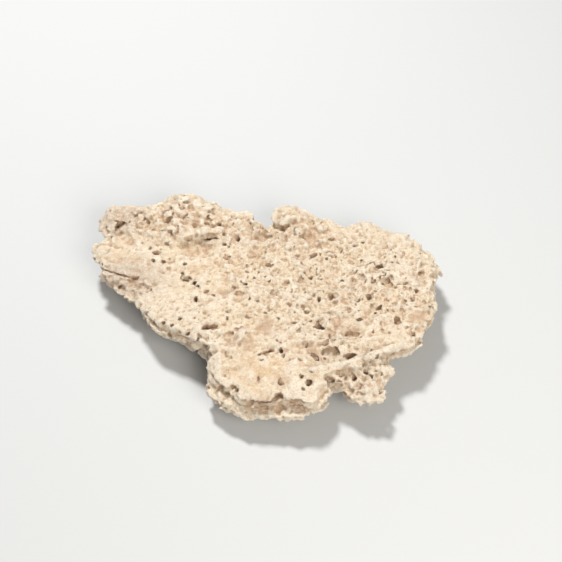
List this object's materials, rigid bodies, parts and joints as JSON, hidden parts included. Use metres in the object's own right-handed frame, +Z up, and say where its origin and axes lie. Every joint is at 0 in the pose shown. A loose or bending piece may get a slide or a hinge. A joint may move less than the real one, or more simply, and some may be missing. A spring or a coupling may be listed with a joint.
{
  "type": "aquarium reef rock",
  "caption": "Flat, irregular plate of dry pitted reef limestone with overhanging ledges, laid as a shelf or stacked into ledges in a marine aquarium.",
  "frame": {"origin": "middle of the rock's box, on the surface that the rock rests on", "axes": "+X along the plate's longest side, +Y towards its far edge, +Z up through its thickness"},
  "size_m": [0.3868, 0.2936, 0.0568],
  "materials": {
    "reef_stone": "dry, matt, porous cream limestone with tan stains and darker pits"
  },
  "bodies": {
    "root": {"reef_rock": "reef_stone"}
  },
  "joints": []
}
